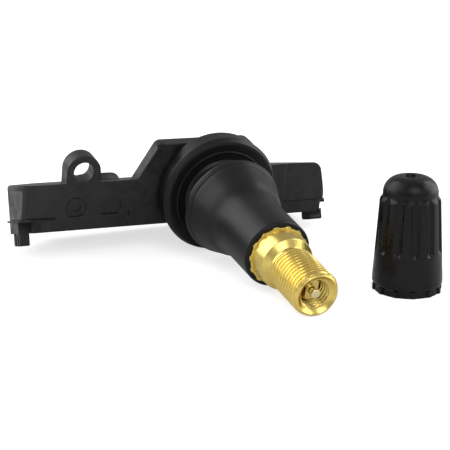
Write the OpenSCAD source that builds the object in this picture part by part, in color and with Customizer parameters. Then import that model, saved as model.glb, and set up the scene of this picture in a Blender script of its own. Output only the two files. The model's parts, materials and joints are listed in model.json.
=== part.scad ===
// Snap-in tyre pressure sensor, lying as it would on a bench, with its valve cap standing beside it.
// Millimetres, +Z up, Z = 0 is the bench. X runs along the housing, and the valve points to -Y.
// Distances along the valve are measured from its open end and grow towards the housing.

/* [Pose] */
// Angle by which the right end of the housing leans down, in degrees
lean = 1.9; // [1:0.1:2.5]
// Angle between the base of the housing and the valve axis, in degrees
base_angle = 25; // [24:0.5:26]

/* [Housing] */
// Length of the housing to the left of the valve axis
left_len = 34.3; // [33.5:0.1:36]
// Length of the housing to the right of the valve axis
right_len = 23.8; // [23:0.1:25]
// Depth of the base from front to rear
base_len = 15.2; // [15:0.1:17]
// Depth of the left end, where its rear corner is cut away
end_depth = 9.6; // [9.4:0.1:11]
// Height of the left top edge above the valve axis
left_top = 2.4; // [2:0.1:2.8]
// Height of the right top edge above the valve axis
right_top = 3.6; // [3.2:0.1:4.2]
// Rise of the roof from its front edge to its rear edge
roof_rise = 0.7; // [0.3:0.05:1]
// Depth of the front edge of the base below the valve axis
front_drop = 6.7; // [6.4:0.1:7]
// Wall thickness of the housing
wall = 1.3; // [1.1:0.1:1.4]
// Step by which the right end block stands back
end_step = 0.7; // [0.4:0.1:0.9]
// Distance from the valve axis to the right end block
end_block_x = 14.5; // [13.8:0.1:15.5]
// Slope by which the right end draws in towards the top
end_draft = 2; // [1:0.1:2.4]
// Radius of the small vertical corners
corner_r = 0.9; // [0.5:0.1:1.2]
// Radius of the rear edge of the roof
roof_r = 1.4; // [1:0.1:1.6]
// Radius of the top corner at the left end
end_top_r = 0.9; // [0.6:0.1:1.4]
// Radius of the top corner at the right end
right_top_r = 2.2; // [1.6:0.1:2.6]

/* [Tower] */
// Height of the tower above the valve axis
tower_top = 8.5; // [8:0.1:9.2]
// Width across the flat top of the tower
tower_w = 17.4; // [16.5:0.1:18.5]
// How far the tower stands to the left of the valve axis
tower_shift = 1.9; // [1.3:0.1:2.4]
// Spread of each sloping side from the top of the tower to the valve axis
tower_spread = 4.8; // [4:0.1:5.6]
// Thickness of the tower plate
tower_plate = 2.5; // [2:0.1:3]
// Step by which the middle of the front stands proud of the left part
face_step = 0.25; // [0.1:0.05:0.4]
// Radius of the boss round the screw
boss_r = 4.7; // [4.6:0.1:5]
// Length of the boss behind the tower face
boss_len = 8.2; // [7.8:0.1:9]

/* [Ear] */
// Distance of the ear from the valve axis
ear_x = 24; // [22.5:0.1:26]
// Outer radius of the ear
ear_r = 3; // [2.8:0.05:3.6]
// Diameter of the hole in the ear
ear_hole_d = 3.6; // [3:0.1:4]
// Height of the hole above the top edge
ear_rise = 1.6; // [1.2:0.1:2.2]
// Thickness of the ear
ear_plate = 3.4; // [2.4:0.1:3.8]

/* [Base cover] */
// Thickness of the base cover
cover_t = 2.35; // [2:0.05:2.6]
// Thickness of the thin lip at the parting line
lip_t = 0.35; // [0.25:0.05:0.5]
// How far the lip stands out at the ends
lip_out = 0.45; // [0.2:0.05:0.6]
// Step by which the cover stands back below the right end block
cover_step = 0.3; // [0.1:0.05:0.5]
// Height of the front left foot
left_foot_h = 2.15; // [1.6:0.05:2.4]
// Height of the front right foot
right_foot_h = 1.5; // [1:0.1:1.8]

/* [Valve stem] */
// Major diameter of the cap thread
thread_d = 7.7; // [7.4:0.05:8]
// Distance from the open end to the end of the thread
thread_end = 8.9; // [8:0.1:9.4]
// Diameter of the open end
mouth_d = 6.95; // [6.7:0.05:7.2]
// Length of the chamfer at the open end
mouth_chamfer = 0.8; // [0.4:0.1:1]
// Diameter of the brass shoulder
shoulder_d = 9.1; // [8.6:0.1:9.6]
// Distance from the open end to the start of the shoulder
shoulder_start = 9.9; // [9.6:0.1:10.6]
// Diameter of the scalloped collar
collar_d = 10.4; // [10:0.1:11]
// Number of scallops round the collar
scallops = 14; // [10:1:18]
// Bore of the valve, through which the air passes
air_bore_d = 3; // [2.6:0.1:3.2]
// Bore that takes the valve core
core_bore_d = 5.2; // [5:0.1:5.6]
// Diameter of the brass tail inside the tower
tail_d = 7; // [6.6:0.1:7.6]
// Length of the brass tail inside the tower
tail_len = 3; // [2.5:0.1:3.5]

/* [Rubber] */
// Distance from the open end to the front of the rubber
rubber_start = 14.3; // [13.8:0.1:15]
// Step by which the rubber neck stands out past the scalloped collar
neck_step = 0.55; // [0.4:0.05:0.8]
// Distance from the open end to the lip of the bell
bell_back = 33.6; // [32.5:0.1:34]
// Diameter of the bell
bell_d = 17.4; // [16.5:0.1:18]
// Width of the groove that grips the rim
groove_w = 4.4; // [3.6:0.1:5]
// Diameter at the bottom of the groove
groove_d = 12.6; // [12.2:0.1:13.4]
// Diameter of the flange
flange_d = 21.3; // [20.8:0.1:21.8]
// Thickness of the flange
flange_t = 4.6; // [4.2:0.1:5.4]
// Distance from the front of the flange to its widest place
flange_edge = 0.9; // [0.6:0.1:1.4]

/* [Valve core] */
// Depth of the head of the pin below the open end
pin_depth = 0.5; // [0.3:0.1:1]
// Diameter of the head of the pin
pin_head_d = 1.6; // [1.4:0.1:1.8]
// Diameter of the pin
pin_d = 1; // [0.9:0.05:1.1]
// Travel of the pin
pin_travel = 0.9; // [0.6:0.1:1.1]
// Clearance all round a sliding piece
slide_gap = 0.1; // [0.05:0.01:0.12]

/* [Valve cap] */
// Height of the cap
cap_h = 19; // [18:0.1:20]
// Largest diameter of the cap
cap_d = 11.4; // [11.2:0.1:12.4]
// Number of grooves round the cap
cap_grooves = 12; // [8:1:14]
// Place of the cap to the right of the valve axis
cap_x = 20; // [19:0.1:24]
// Place of the cap in front of the tower
cap_front = 34.9; // [28:0.1:35.5]
// Clearance of the cap over the thread
cap_gap = 0.2; // [0.1:0.05:0.3]
// Thickness of the seal in the cap
cap_seal_t = 0.9; // [0.7:0.1:1.1]
// Step by which the seat of the seal is wider than the bore of the cap
cap_seal_step = 0.25; // [0.15:0.05:0.35]

/* [Electronics] */
// Diameter of the coin cell
cell_d = 12.5; // [10:0.5:12.5]
// Thickness of the coin cell
cell_t = 2.5; // [2:0.1:2.6]
// Thickness of the circuit board
board_t = 0.8; // [0.6:0.1:1]
// Gap between the circuit board and the housing wall
board_gap = 0.4; // [0.2:0.1:0.6]
// Height of the ledge that carries the circuit board
ledge_h = 0.5; // [0.4:0.1:0.7]

/* [Hidden] */
$fn = 64;
eps = 0.01;
sheet = left_len + right_len;

// The valve lies on the end of its thread and on its flange
flange_front = bell_back + groove_w;
flange_back = flange_front + flange_t;
valve_tilt = atan((flange_d - thread_d) / 2 / (flange_front + flange_edge - mouth_chamfer));

// Height of the valve axis where it meets the tower
axis_rise = (flange_back - mouth_chamfer) * sin(valve_tilt) + thread_d / 2 * cos(valve_tilt);
front_z = -front_drop;
left_h = (left_top - front_z) * cos(base_angle);
right_h = (right_top - front_z) * cos(base_angle);
roof_slope = atan(roof_rise / base_len);
tower_left = -tower_w / 2 - tower_shift;
tower_right = tower_w / 2 - tower_shift;
// The two body heights meet behind the right half of the tower
split_x = tower_right - 1;

// Rear left corner of the base, which is cut away at a slant
cut_x = 8;
cut_angle = atan((base_len - end_depth) / cut_x);

// Height above the bench of a point in the base frame
function bench_z(x, y, z) = axis_rise + side(y, z)[0] * sin(valve_tilt)
    + (side(y, z)[1] * cos(lean) - x * sin(lean)) * cos(valve_tilt);

// How much of a height in the base frame counts on the bench
foot_scale = sin(base_angle) * sin(valve_tilt) + cos(base_angle) * cos(lean) * cos(valve_tilt);

// The rear foot reaches down to the bench
rear_foot_x = right_len - 6.5;
rear_foot_w = 3;
rear_foot_y = base_len - 1;
rear_foot_h = bench_z(rear_foot_x + rear_foot_w, rear_foot_y, 0) / foot_scale;

// Outermost points, which centre the object on the origin
lip_rear = end_depth - 0.6;
x_low = -(left_len + lip_out) * cos(lean) + side(lip_rear, cover_t - lip_t)[1] * sin(lean);
x_high = max(right_len + lip_out, cap_x + cap_d / 2);
y_low = -flange_back * cos(valve_tilt) - mouth_d / 2 * sin(valve_tilt);
rear_top = side(base_len - roof_r, right_h + (base_len - roof_r) * tan(roof_slope) - roof_r / cos(roof_slope));
rear_r = 4;
y_high = rear_top[0] * cos(valve_tilt) + roof_r
    - (rear_top[1] * cos(lean) - (right_len - end_draft - rear_r) * sin(lean)) * sin(valve_tilt);
centre_x = (x_low + x_high) / 2;
centre_y = (y_low + y_high) / 2;

// Sizes of the inside
board_z = cover_t + ledge_h;
cell_z = board_z + board_t;
tab_t = 0.2;
tab_pad_d = 6;
cell_top = cell_z + cell_t + 2 * tab_t;
cell_x = right_len - wall - board_gap - cell_d / 2
    - end_draft * (cell_top - cover_t) / (right_h - wall - cover_t);
cell_y = (front_at(cell_z, wall + end_step) + base_len - wall) / 2;
boss_wall = 1;
screw_d = 3.5;
screw_head_d = 6.4;
screw_head_t = 2;
screw_seat = tail_len + 1.4;
screw_start = 40;
screw_bore_d = 1.2;
port_x = -18;
port_y = 8.6;
port_boss_r = 4.3;
port_boss_h = 1.6;
port_seat = left_h - wall + 0.2;
port_d = 1.8;
filter_d = 3.8;
seal_h = 0.8;
board_hole_x = [-30, -9.5];
coil_x = -27.5;
coil_len = 8;
coil_y = 3;
coil_core_d = 1.6;
coil_end_w = 2.6;
coil_end_t = 1;
chip_w = 5;
crystal_x = -12.5;
crystal_y = 5;
crystal_l = 3.2;
crystal_w = 2.5;

// Places in the valve core, from the open end
pin_head_h = 0.5;
plug_top = pin_depth + pin_head_h + pin_travel + 0.1;
plug_len = 4.2;
plug_end = plug_top + plug_len;
barrel_end = plug_end + 7.4;
seat_t = 1;
collar_place = plug_end + 1.2;
core_cup_h = 1.6;
cup_gap = 0.05;
core_floor = barrel_end + core_cup_h + pin_travel + 1.2;

// The whole sensor, turned so that it lies on the bench
module lying() {
    translate([-centre_x, -centre_y, axis_rise])
        rotate([valve_tilt, 0, 0])
            rotate([0, lean, 0])
                children();
}

// Shapes drawn upwards are laid along the valve, measured from its open end
module on_valve() {
    lying()
        translate([0, -flange_back, 0])
            rotate([-90, 0, 0])
                children();
}

// The frame of the base: X along it, Y to the rear, Z square to it
module base_frame() {
    translate([0, 0, front_z])
        rotate([-base_angle, 0, 0])
            children();
}

module on_base() {
    lying()
        base_frame()
            children();
}

// Unit vector from a to b
function unit(a, b) = (b - a) / norm(b - a);

// Points of an outline of [x, y, radius], each corner cut at the ends of its arc
function cut_corners(p) = [
    for (i = [0 : len(p) - 1])
        let (c = [p[i][0], p[i][1]],
             a = [p[(i + len(p) - 1) % len(p)][0], p[(i + len(p) - 1) % len(p)][1]],
             b = [p[(i + 1) % len(p)][0], p[(i + 1) % len(p)][1]],
             u = unit(c, a), v = unit(c, b),
             half = acos(u * v) / 2,
             reach = abs(p[i][2]) / tan(half))
        each (p[i][2] == 0 ? [c] : [c + u * reach, c + v * reach])];

// Centre of the arc at corner i
function arc_centre(p, i) =
    let (c = [p[i][0], p[i][1]],
         a = [p[(i + len(p) - 1) % len(p)][0], p[(i + len(p) - 1) % len(p)][1]],
         b = [p[(i + 1) % len(p)][0], p[(i + 1) % len(p)][1]],
         u = unit(c, a), v = unit(c, b),
         half = acos(u * v) / 2)
    c + (u + v) / norm(u + v) * abs(p[i][2]) / sin(half);

// An outline of [x, y, radius]: a positive radius rounds a corner, a negative one fills it
module outline(p) {
    difference() {
        union() {
            polygon(cut_corners(p));
            for (i = [0 : len(p) - 1])
                if (p[i][2] > 0)
                    translate(arc_centre(p, i)) circle(p[i][2]);
        }
        for (i = [0 : len(p) - 1])
            if (p[i][2] < 0)
                translate(arc_centre(p, i)) circle(-p[i][2]);
    }
}

// A side profile in Y and Z, extruded along X from x0 to x1
module along_x(x0, x1) {
    translate([x0, 0, 0])
        rotate([90, 0, 90])
            linear_extrude(x1 - x0)
                children();
}

// A front profile in X and Z, extruded to the rear from y0 to y1
module along_y(y0, y1) {
    translate([0, y1, 0])
        rotate([90, 0, 0])
            linear_extrude(y1 - y0)
                children();
}

// A point of the base frame in the Y and Z of the side profile
function side(y, z) = [
    y * cos(base_angle) + z * sin(base_angle),
    front_z - y * sin(base_angle) + z * cos(base_angle)];

// Where the front wall, set in by gap, crosses a height above the base
function front_at(z, gap = 0) = (gap - z * sin(base_angle)) / cos(base_angle);

// Plan of the front and the ends in X and Y, set in by gap
module plan(gap = 0) {
    rear = 2 * base_len;
    foot = -tower_left + tower_spread * (tower_top - left_top) / tower_top + 1.2;
    outline([
        [-left_len + gap, 1.5 + gap, 0],
        [-left_len + 0.5 + gap, 0.85 + gap, 0],
        [-left_len + 1.4 + gap, 0.45 + gap, 0],
        [-left_len + 3.2 + gap, face_step + gap, 0],
        [-foot - 0.3, face_step + gap, 0],
        [-foot, gap, 0],
        [end_block_x - gap, gap, 0],
        [end_block_x + 0.4 - gap, end_step + gap, 0],
        [right_len - gap, end_step + gap, corner_r],
        [right_len - gap, rear, 0],
        [-left_len + gap, rear, 0]]);
}

// Side profile between two heights above the base, its rear wall set in by gap
module side_profile(low, high, gap = 0, round = 0, slope = 0) {
    front = front_at(high) - 3;
    outline([
        concat(side(front_at(low) - 3, low), 0),
        concat(side(base_len - gap, low), 0),
        concat(side(base_len - gap, high + (base_len - gap) * tan(slope)), round),
        concat(side(front, high + front * tan(slope)), 0)]);
}

// Plan in the base frame from a front line back, set in by gap, with the rear corners rounded
module base_plan(front, gap, front_r = 0, rear_round = 1) {
    outline([
        [-left_len + gap, front, front_r],
        [right_len - gap, front, front_r],
        [right_len - gap, base_len - gap, rear_r - gap],
        [-left_len + cut_x + gap * (1 - cos(cut_angle)) / sin(cut_angle), base_len - gap, rear_round],
        [-left_len + gap, end_depth - gap * (1 - sin(cut_angle)) / cos(cut_angle), rear_round]]);
}

// The left and the right part of the body seen along the base, set in by gap; the space inside
// runs on above its roof, where the side profile cuts it
module left_end(high, gap) {
    top = gap > 0 ? high + 1 : high;
    outline([
        [-left_len + gap, -1, 0],
        [split_x, -1, 0],
        [split_x, top, 0],
        [-left_len + gap, top, gap > 0 ? 0 : end_top_r]]);
}

module right_end(high, gap) {
    top = gap > 0 ? high + 1 : high;
    outline([
        [split_x - eps, -1, 0],
        [right_len - gap, -1, 0],
        [right_len - gap, cover_t, 0],
        [right_len - end_draft - gap, top, gap > 0 ? 0 : right_top_r],
        [split_x - eps, top, 0]]);
}

// A length of the body between two heights above the base, every wall set in by gap
module body_block(low, high, gap = 0, round = 0, slope = 0) {
    intersection() {
        translate([0, 0, -sheet / 2])
            linear_extrude(sheet)
                plan(gap);
        along_x(-sheet, sheet) side_profile(low, high, gap, round, slope);
        base_frame()
            translate([0, 0, -1])
                linear_extrude(high + 3)
                    base_plan(-base_len, gap, 0, gap > 0 ? 1 : 1.5);
        base_frame()
            translate([0, 0, high])
                rotate([slope, 0, 0])
                    translate([0, 0, -high])
                        along_y(-base_len, 2 * base_len)
                            children();
    }
}

// The plate that carries the valve, seen from the front
module tower_face() {
    low = front_z + 4;
    reach = tower_spread * (tower_top - low) / tower_top;
    outline([
        [tower_left - reach, low, 0],
        [tower_left, tower_top, 1.3],
        [tower_right, tower_top, 2],
        [tower_right + reach, low, 0]]);
}

// Fillet between the left side of the tower and the roof
module tower_fillet() {
    foot = tower_left - tower_spread * (tower_top - left_top) / tower_top;
    slope = tower_spread / tower_top;
    difference() {
        polygon([
            [foot - 1.2, left_top - 1], [foot + 1, left_top - 1],
            [foot + slope * 2.6, left_top + 2.6], [foot - 1.2, left_top]]);
        translate([foot - 1.35, left_top + 2.2]) circle(2.2);
    }
}

// The ear with its hole, seen from the front
module ear_face() {
    difference() {
        union() {
            translate([-ear_x, left_top + ear_rise]) circle(ear_r);
            translate([-ear_x - ear_r, front_z + 4])
                square([2 * ear_r, left_top + ear_rise - front_z - 4]);
        }
        translate([-ear_x, left_top + ear_rise]) circle(ear_hole_d / 2);
    }
}

// Ring and disc marks that the mould leaves on the front face
module front_marks() {
    translate([-25.1, face_step, -2.5])
        rotate([-90, 0, 0]) {
            difference() {
                translate([0, 0, -eps]) cylinder(r = 2, h = 0.2);
                translate([0, 0, -2 * eps]) cylinder(r = 1.6, h = 0.3);
            }
            translate([0, 0, -eps]) cylinder(r = 0.9, h = 0.25);
        }
    translate([-18.9, face_step, -2.6])
        rotate([-90, 0, 0])
            translate([0, 0, -eps]) cylinder(r = 2.1, h = 0.3);
}

// Outer form of the housing above the parting line
module housing_form() {
    body_block(cover_t, left_h, 0, roof_r, roof_slope) left_end(left_h, 0);
    body_block(cover_t, right_h, 0, roof_r, roof_slope) right_end(right_h, 0);
    intersection() {
        union() {
            along_y(0, tower_plate) {
                tower_face();
                tower_fillet();
            }
            along_y(face_step, ear_plate) ear_face();
            // Ribs behind the tower
            for (x = [tower_left + 2.1, tower_right - 1.8])
                along_x(x, x + 1.2)
                    polygon([[tower_plate - eps, tower_top - 1.3], [tower_plate - eps, -1], [8.5, -1]]);
            rotate([-90, 0, 0]) cylinder(r = boss_r, h = boss_len);
        }
        along_x(-sheet, sheet) side_profile(cover_t, sheet / 2);
    }
    base_frame()
        translate([port_x, port_y, left_h - wall])
            rotate_extrude()
                outline([
                    [0, 0, 0], [port_boss_r, 0, 0],
                    [port_boss_r, wall + port_boss_h, 1.5], [0, wall + port_boss_h, 0]]);
}

// Space inside the housing, which goes round the screw
module housing_cavity() {
    difference() {
        union() {
            body_block(cover_t - eps, left_h - wall, wall, 0, roof_slope) left_end(left_h - wall, wall);
            body_block(cover_t - eps, right_h - wall, wall, 0, roof_slope) right_end(right_h - wall, wall);
        }
        // Flat seat of the pressure seal
        base_frame()
            translate([port_x, port_y, port_seat]) cylinder(r = 2.6, h = 5);
        rotate([-90, 0, 0]) {
            cylinder(r = boss_r, h = boss_len);
            translate([0, 0, boss_len - eps]) cylinder(d = screw_head_d + 1 + 2 * boss_wall, h = 30);
        }
    }
}

module housing() {
    color([0.06, 0.06, 0.065])
        lying()
            difference() {
                housing_form();
                housing_cavity();
                front_marks();
                // Seat of the brass tail, hole of the screw and the way in for its head
                rotate([-90, 0, 0]) {
                    translate([0, 0, -eps]) cylinder(d = tail_d, h = tail_len + eps);
                    cylinder(d = screw_d + 0.3, h = boss_len);
                    translate([0, 0, screw_seat]) cylinder(d = screw_head_d + 1, h = 30);
                }
                // Pressure port
                base_frame()
                    translate([port_x, port_y, 0]) {
                        cylinder(d = port_d, h = 30);
                        translate([0, 0, left_h + port_boss_h - 0.5])
                            cylinder(d = filter_d, h = 30);
                    }
            }
}

// Block under the base cover from z = -h up to a height, its lower edges rounded
module foot(x0, x1, y0, y1, h, up = 0.5, r = 0.5) {
    translate([x0, 0, 0])
        rotate([90, 0, 90])
            linear_extrude(x1 - x0)
                outline([[y0, -h, r], [y1, -h, r], [y1, up, 0], [y0, up, 0]]);
}

// Front left foot, with two grooves in its outer face
module left_foot() {
    front = 3;
    difference() {
        foot(-left_len + 0.1, -left_len + 1.8, front, front + 4.2, left_foot_h, cover_t - lip_t);
        for (y = [front + 1.2, front + 2.8])
            translate([-left_len + 0.1, y, -left_foot_h - 1])
                cylinder(r = 0.35, h = left_foot_h + cover_t);
    }
}

// Thin lip along the parting line, round the left end and at the right one
module cover_lip() {
    front = front_at(cover_t, face_step);
    translate([0, 0, cover_t - lip_t])
        linear_extrude(lip_t)
            outline([
                [-left_len - lip_out, lip_rear, 0],
                [-left_len - lip_out, front + 1.4, 0.3],
                [-left_len + 1.2, front - 0.1, 0.3],
                [-left_len + 5.6, front - 0.15, 0],
                [-left_len + 5.6, 3, 0],
                [-left_len + 2, 3, 0],
                [-left_len + 2, lip_rear, 0]]);
    translate([right_len - 1, front_at(cover_t, end_step) + 1, cover_t - 0.7])
        cube([1 + lip_out, 2.2, 0.7]);
}

module base_cover() {
    rail = 0.9;
    color([0.055, 0.055, 0.06])
        lying()
            difference() {
                union() {
                    body_block(0, cover_t)
                        translate([-left_len, -1]) square([left_len + end_block_x, cover_t + 2]);
                    body_block(0, cover_t, cover_step)
                        translate([0, -1]) square([right_len, cover_t + 2]);
                    base_frame() {
                        left_foot();
                        foot(right_len - 2.6, right_len, 1.4, 4.6, right_foot_h);
                        foot(rear_foot_x, rear_foot_x + rear_foot_w, rear_foot_y - 2.7, rear_foot_y, rear_foot_h, 0.5, 0);
                        cover_lip();
                        // Ledge that carries the circuit board
                        difference() {
                            ledge(cover_t - eps, ledge_h + eps, wall + 1);
                            ledge(cover_t - 1, ledge_h + 3, wall + 1 + rail);
                        }
                    }
                }
                // The corner in front of the left foot is cut away below the lip
                base_frame()
                    translate([-left_len - 1, -base_len, -1])
                        cube([2.9, base_len + 3, 1 + cover_t - lip_t]);
            }
}

// A plate in the base frame that follows the inside of the housing
module ledge(z, height, gap) {
    translate([0, 0, z])
        linear_extrude(height)
            base_plan(front_at(0) + gap, gap, 1);
}

module lid_gasket() {
    color([0.12, 0.12, 0.13])
        on_base()
            difference() {
                ledge(cover_t, 0.4, wall + 0.15);
                ledge(cover_t - 1, 3, wall + 0.95);
            }
}

module circuit_board() {
    notch = 3.2;
    color([0.05, 0.3, 0.14])
        on_base()
            difference() {
                translate([0, 0, board_z])
                    linear_extrude(board_t)
                        base_plan(front_at(0, wall + end_step) + board_gap, wall + board_gap, 1);
                // Locating holes, and a notch below the boss of the screw
                for (x = board_hole_x)
                    translate([x, base_len / 2, board_z - 1]) cylinder(d = 1.2, h = 3);
                translate([-notch, -base_len, board_z - 1])
                    cube([2 * notch, base_len + 3.6, 3]);
            }
}

module coin_cell() {
    color([0.75, 0.76, 0.78])
        on_base()
            translate([cell_x, cell_y, cell_z + tab_t])
                rotate_extrude()
                    outline([
                        [0, 0, 0], [cell_d / 2 - 1.2, 0, 0], [cell_d / 2 - 1.2, 0.3, 0],
                        [cell_d / 2, 0.3, 0.2], [cell_d / 2, cell_t, 0.3], [0, cell_t, 0]]);
}

module cell_tab_lower() {
    color([0.78, 0.77, 0.72])
        on_base() {
            translate([cell_x, cell_y, cell_z]) cylinder(d = tab_pad_d, h = tab_t);
            translate([cell_x - 2, cell_y - cell_d / 2 + 0.4, cell_z])
                cube([4, cell_d / 2, tab_t]);
        }
}

module cell_tab_upper() {
    top = cell_top - tab_t;
    reach = cell_d / 2 + 1.1;
    color([0.78, 0.77, 0.72])
        on_base() {
            translate([cell_x, cell_y, top]) cylinder(d = tab_pad_d, h = tab_t);
            translate([cell_x - reach, cell_y - 1.5, top]) cube([reach, 3, tab_t]);
            translate([cell_x - reach, cell_y - 1.5, cell_z]) cube([tab_t, 3, top - cell_z + tab_t]);
        }
}

module pressure_chip() {
    color([0.1, 0.1, 0.1])
        on_base()
            difference() {
                translate([port_x - chip_w / 2, port_y - chip_w / 2, cell_z])
                    cube([chip_w, chip_w, port_seat - seal_h - cell_z]);
                translate([port_x, port_y, cell_z + 1]) cylinder(d = 1.4, h = 20);
            }
}

module port_seal() {
    color([0.5, 0.12, 0.08])
        on_base()
            translate([port_x, port_y, port_seat - seal_h])
                difference() {
                    cylinder(d = 4.2, h = seal_h);
                    translate([0, 0, -1]) cylinder(d = port_d, h = 4);
                }
}

module port_filter() {
    color([0.85, 0.85, 0.83])
        on_base()
            translate([port_x, port_y, left_h + port_boss_h - 0.5])
                cylinder(d = filter_d, h = 0.25);
}

module coil_core() {
    color([0.2, 0.2, 0.21])
        on_base()
            translate([coil_x, coil_y, cell_z + coil_end_w / 2])
                rotate([-90, 0, 0]) {
                    cylinder(d = coil_core_d, h = coil_len);
                    for (y = [0, coil_len - coil_end_t])
                        translate([-coil_end_w / 2, -coil_end_w / 2, y])
                            cube([coil_end_w, coil_end_w, coil_end_t]);
                }
}

module wake_coil() {
    color([0.72, 0.38, 0.2])
        on_base()
            translate([coil_x, coil_y + coil_end_t, cell_z + coil_end_w / 2])
                rotate([-90, 0, 0])
                    difference() {
                        cylinder(d = coil_end_w - 0.3, h = coil_len - 2 * coil_end_t);
                        translate([0, 0, -1]) cylinder(d = coil_core_d, h = coil_len);
                    }
}

module loop_antenna() {
    rise = 2.6;
    span = 8;
    leg = 0.8;
    strip = 0.5;
    color([0.8, 0.78, 0.7])
        on_base()
            translate([crystal_x - 1.5, base_len - wall - board_gap - 1, cell_z]) {
                for (x = [0, span - leg]) translate([x, 0, 0]) cube([leg, strip, rise]);
                translate([0, 0, rise - strip]) cube([span, strip, strip]);
            }
}

module radio_crystal() {
    color([0.82, 0.82, 0.84])
        on_base()
            translate([crystal_x, crystal_y, cell_z])
                linear_extrude(0.9)
                    outline([
                        [0, 0, 0.4], [crystal_l, 0, 0.4],
                        [crystal_l, crystal_w, 0.4], [0, crystal_w, 0.4]]);
}

module board_components() {
    part_l = 1.6;
    part_w = 0.8;
    step = [2.5, 2];
    row_y = crystal_y + crystal_w + 1.1;
    column_gap = 1.3;
    column_x = port_x - chip_w / 2 - column_gap - part_l;
    color([0.55, 0.45, 0.32])
        on_base() {
            // Two rows behind the crystal
            for (i = [0 : 1], j = [0 : 1])
                translate([crystal_x + i * step[0], row_y + j * step[1], cell_z]) cube([part_l, part_w, 0.6]);
            translate([crystal_x + 2 * step[0], row_y + step[1], cell_z]) cube([part_l, part_w, 0.6]);
            // A column between the coil and the pressure chip
            for (y = [port_y - 5.2, port_y - 2.8, port_y + 3])
                translate([column_x, y, cell_z]) cube([part_l, part_w, 0.6]);
        }
}

// Profile of the brass from the open end to the tail, radius first
function brass_steps() =
    let (t = thread_d / 2, s = shoulder_d / 2) [
    [mouth_d / 2, 0],
    [t, mouth_chamfer],
    [t, thread_end],
    [t - 0.4, thread_end + 0.3],
    [t - 0.4, shoulder_start],
    [s, shoulder_start + 0.8],
    [s, rubber_start - 0.2]];

// Profile of the brass inside the rubber, shared by both pieces
function buried_steps() = [
    [collar_d / 2 - 0.6, rubber_start],
    [collar_d / 2 - 0.6, rubber_start + 1],
    [4, rubber_start + 1.6],
    [4, flange_front - 3],
    [4.6, flange_front - 2],
    [4.6, flange_front + 2],
    [tail_d / 2, flange_front + 3],
    [tail_d / 2, flange_back]];

module valve_stem() {
    collar_t = 0.4;
    color([0.83, 0.68, 0.33])
        on_valve()
            difference() {
                union() {
                    rotate_extrude()
                        polygon(concat(
                            [[0, 0]], brass_steps(), buried_steps(),
                            [[tail_d / 2, flange_back + tail_len], [0, flange_back + tail_len]]));
                    // Scalloped collar
                    translate([0, 0, rubber_start - collar_t])
                        linear_extrude(collar_t) {
                            circle(collar_d / 2 - 0.25);
                            for (i = [0 : scallops - 1])
                                rotate([0, 0, i * 360 / scallops])
                                    translate([collar_d / 2 - 0.75, 0]) circle(r = 0.75, $fn = 24);
                        }
                }
                rotate_extrude()
                    polygon([
                        [0, -1], [mouth_d / 2 - 0.2, -1], [mouth_d / 2 - 0.4, 0.1], [core_bore_d / 2, 0.7],
                        [core_bore_d / 2, plug_end + 0.6], [core_bore_d / 2 - 0.5, plug_end + 1.8],
                        [core_bore_d / 2 - 0.5, core_floor], [air_bore_d / 2, core_floor + 0.8],
                        [air_bore_d / 2, screw_start - 1], [screw_d / 2, screw_start - 0.7],
                        [screw_d / 2, flange_back + tail_len + 1], [0, flange_back + tail_len + 1]]);
            }
}

// Outer profile of the rubber, from its front to the back of the flange
function rubber_steps() =
    let (n = collar_d / 2 + neck_step, b = bell_d / 2, g = groove_d / 2, f = flange_d / 2,
         ring = (g + f) / 2, neck_end = bell_back - 7.4) [
    [n - 0.4, rubber_start],
    [n, rubber_start + 0.3],
    [n + 0.1, rubber_start + 0.8 * (neck_end - rubber_start)],
    [n + 0.45, neck_end],
    [n + 1.25, bell_back - 5.6],
    [b - 1, bell_back - 3.4],
    [b - 0.35, bell_back - 1.5],
    [b, bell_back - 0.55],
    [b, bell_back - 0.2],
    [b - 0.25, bell_back],
    [g + 0.2, bell_back],
    [g, bell_back + 0.4],
    [g, flange_front - 0.4],
    [g + 0.3, flange_front],
    [ring - 0.3, flange_front],
    [ring - 0.2, flange_front - 0.2],
    [ring, flange_front],
    [f - 0.9, flange_front - 0.1],
    [f - 0.5, flange_front],
    [f, flange_front + flange_edge],
    [f - 0.2, flange_back - 0.5],
    [f - 0.6, flange_back]];

module valve_rubber() {
    buried = buried_steps();
    color([0.05, 0.05, 0.05])
        on_valve()
            rotate_extrude()
                polygon(concat(
                    rubber_steps(),
                    [for (i = [len(buried) - 1 : -1 : 0]) buried[i]]));
}

module mounting_screw() {
    recess_d = 2.6;
    color([0.7, 0.71, 0.72])
        on_valve()
            difference() {
                union() {
                    translate([0, 0, screw_start]) cylinder(d = screw_d, h = flange_back + screw_seat - screw_start);
                    translate([0, 0, flange_back + screw_seat])
                        rotate_extrude()
                            outline([
                                [0, 0, 0], [screw_head_d / 2, 0, 0],
                                [screw_head_d / 2, screw_head_t, 0.6], [0, screw_head_t, 0]]);
                }
                translate([0, 0, screw_start - 1]) cylinder(d = screw_bore_d, h = 20);
                translate([0, 0, flange_back + screw_seat + screw_head_t - 1.2]) {
                    cylinder(d = recess_d * 0.72, h = 3);
                    for (i = [0 : 5])
                        rotate([0, 0, i * 60])
                            translate([recess_d / 2 - 0.35, 0, 0]) cylinder(d = 0.7, h = 3, $fn = 24);
                }
            }
}

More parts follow.
